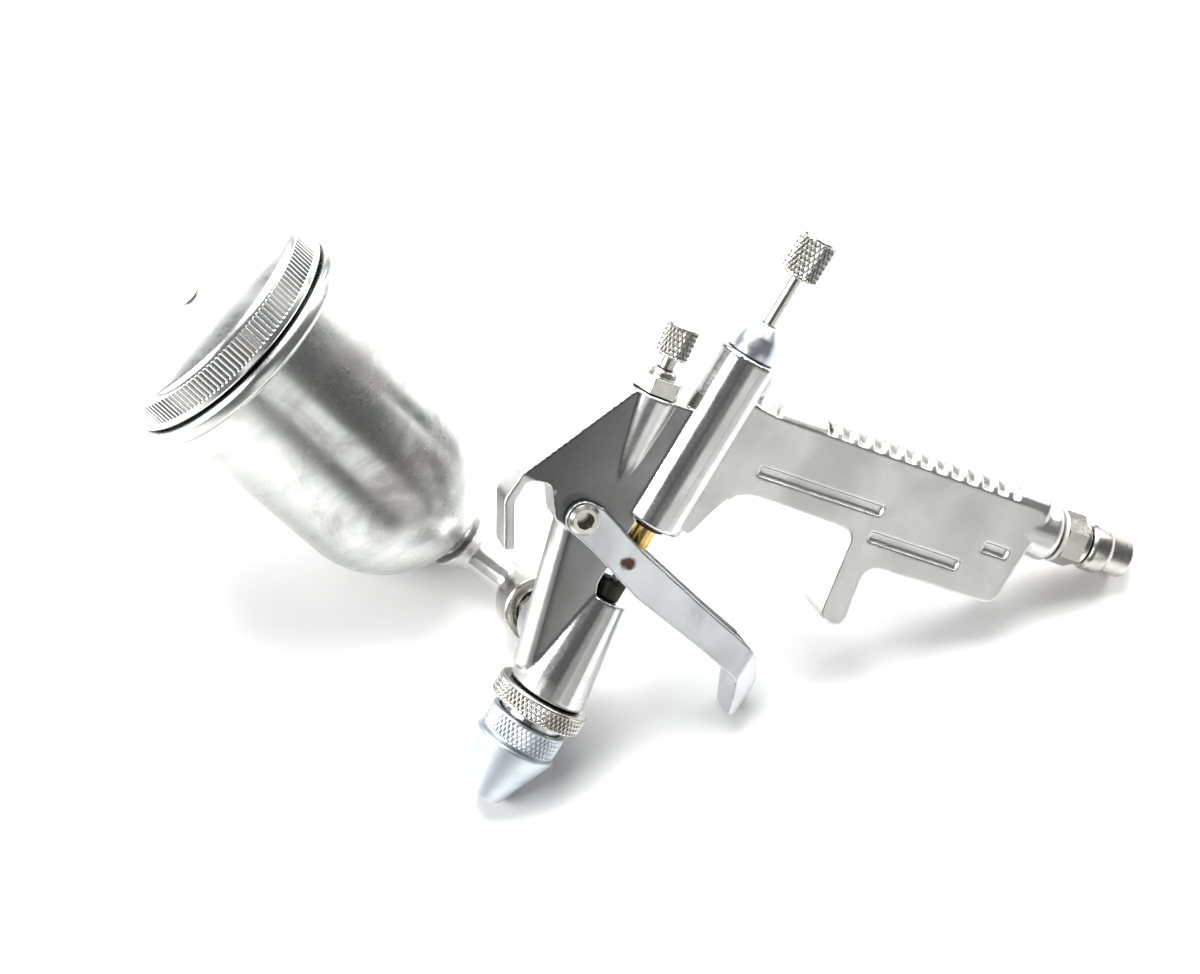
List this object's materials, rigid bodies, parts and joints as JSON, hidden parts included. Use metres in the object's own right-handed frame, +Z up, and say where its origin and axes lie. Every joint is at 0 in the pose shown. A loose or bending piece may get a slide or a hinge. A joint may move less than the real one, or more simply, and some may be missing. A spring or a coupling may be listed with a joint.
{
  "type": "gravity feed hvlp spray gun",
  "caption": "Metal air spray gun lying on its side: cone air cap, tapered barrel, trigger, ribbed pistol grip, hanging hook, rear controls and a lidded round paint cup on a side union.",
  "frame": {"origin": "centre of the bounding box's base, on the table under the gun as it lies on its cup side", "axes": "+Z up from the table; +X level, from the nozzle end toward the air plug; +Y level, from the trigger side toward the cup's top"},
  "size_m": [0.2354, 0.1532, 0.0928],
  "materials": {
    "cast_aluminium": "fine as-cast and tumbled aluminium, satin, with wear on the edges",
    "polished_aluminium": "spun and polished aluminium with fine turning lines",
    "nickel_plate": "nickel plate over machined steel, slightly yellowed",
    "satin_plate": "satin plated and turned",
    "steel": "ground steel",
    "brass": "turned brass",
    "black_steel": "blackened steel",
    "seal_polymer": "off-white sealing polymer",
    "dark_rubber": "dark sealing rubber",
    "trigger_plate": "bright plated pressed sheet with hand wear"
  },
  "bodies": {
    "gun": {"gun_body": "cast_aluminium", "fluid_nozzle": "steel", "nozzle_gasket": "seal_polymer", "needle_packing": "seal_polymer", "packing_screw": "black_steel", "air_valve_gland": "black_steel", "air_valve_seal": "dark_rubber", "needle_spring": "steel", "rear_guide": "satin_plate", "air_control_bush": "nickel_plate", "pivot_screw": "nickel_plate", "pivot_nut": "nickel_plate", "inlet_adapter": "nickel_plate", "inlet_seal": "seal_polymer", "inlet_plug": "nickel_plate", "fluid_stud": "nickel_plate", "union_gasket": "seal_polymer"},
    "air_cap": {"air_cap": "satin_plate"},
    "lock_ring": {"lock_ring": "nickel_plate"},
    "trigger": {"trigger": "trigger_plate", "trigger_roller": "steel"},
    "needle": {"needle": "steel", "needle_collar": "brass"},
    "air_valve": {"air_valve_stem": "brass"},
    "fluid_knob": {"fluid_knob": "nickel_plate"},
    "air_control": {"air_control_knob": "nickel_plate"},
    "union_nut": {"union_nut": "nickel_plate"},
    "cup": {"cup_body": "polished_aluminium", "cup_neck": "cast_aluminium"},
    "lid_seal": {"lid_gasket": "dark_rubber"},
    "lid": {"cup_lid": "polished_aluminium", "lid_vent": "seal_polymer"}
  },
  "joints": [
    {"name": "air_cap_turn", "type": "hinge", "parent": "gun", "child": "air_cap", "pos_m": [-0.05446, -0.06616, 0.00961], "axis": [0.7293, 0.4672, 0.4999], "continuous": true},
    {"name": "lock_ring_turn", "type": "hinge", "parent": "gun", "child": "lock_ring", "pos_m": [-0.04279, -0.05868, 0.01761], "axis": [0.7293, 0.4672, 0.4999], "continuous": true},
    {"name": "trigger_pull", "type": "hinge", "parent": "gun", "child": "trigger", "pos_m": [-0.02014, -0.02666, 0.05167], "axis": [-0.0047, -0.7271, 0.6865], "range_deg": [0, 15], "stiffness_Nm_per_rad": 0.5, "springref_deg": -22.92},
    {"name": "needle_slide", "type": "slide", "parent": "gun", "child": "needle", "axis": [0.7293, 0.4672, 0.4999], "range_m": [0, 0.0056], "deforming": ["needle_spring"]},
    {"name": "valve_slide", "type": "slide", "parent": "gun", "child": "air_valve", "axis": [0.7293, 0.4672, 0.4999], "range_m": [0, 0.0056]},
    {"name": "fluid_knob_turn", "type": "hinge", "parent": "gun", "child": "fluid_knob", "pos_m": [0.05202, 0.00206, 0.08259], "axis": [0.7293, 0.4672, 0.4999], "range_deg": [-360, 360]},
    {"name": "air_control_turn", "type": "hinge", "parent": "gun", "child": "air_control", "pos_m": [0.01544, -0.00386, 0.07607], "axis": [0.6405, 0.525, 0.5605], "range_deg": [-360, 360]},
    {"name": "union_nut_turn", "type": "hinge", "parent": "gun", "child": "union_nut", "pos_m": [-0.03336, -0.03102, 0.01201], "axis": [0.0047, 0.7271, -0.6865], "continuous": true},
    {"name": "cup_swivel", "type": "hinge", "parent": "gun", "child": "cup", "pos_m": [-0.03335, -0.02957, 0.01063], "axis": [0.0047, 0.7271, -0.6865], "range_deg": [-45, 45]},
    {"name": "lid_lift", "type": "slide", "parent": "cup", "child": "lid_seal", "axis": [-0.4721, 0.6068, 0.6395], "range_m": [0, 0.05]},
    {"name": "lid_turn", "type": "hinge", "parent": "lid_seal", "child": "lid", "pos_m": [-0.08765, 0.0489, 0.06569], "axis": [-0.4721, 0.6068, 0.6395], "continuous": true}
  ],
  "couplings": [
    {"joint": "needle_slide", "follows": "trigger_pull", "m_per_rad": 0.0213},
    {"joint": "valve_slide", "follows": "trigger_pull", "m_per_rad": 0.0213}
  ]
}
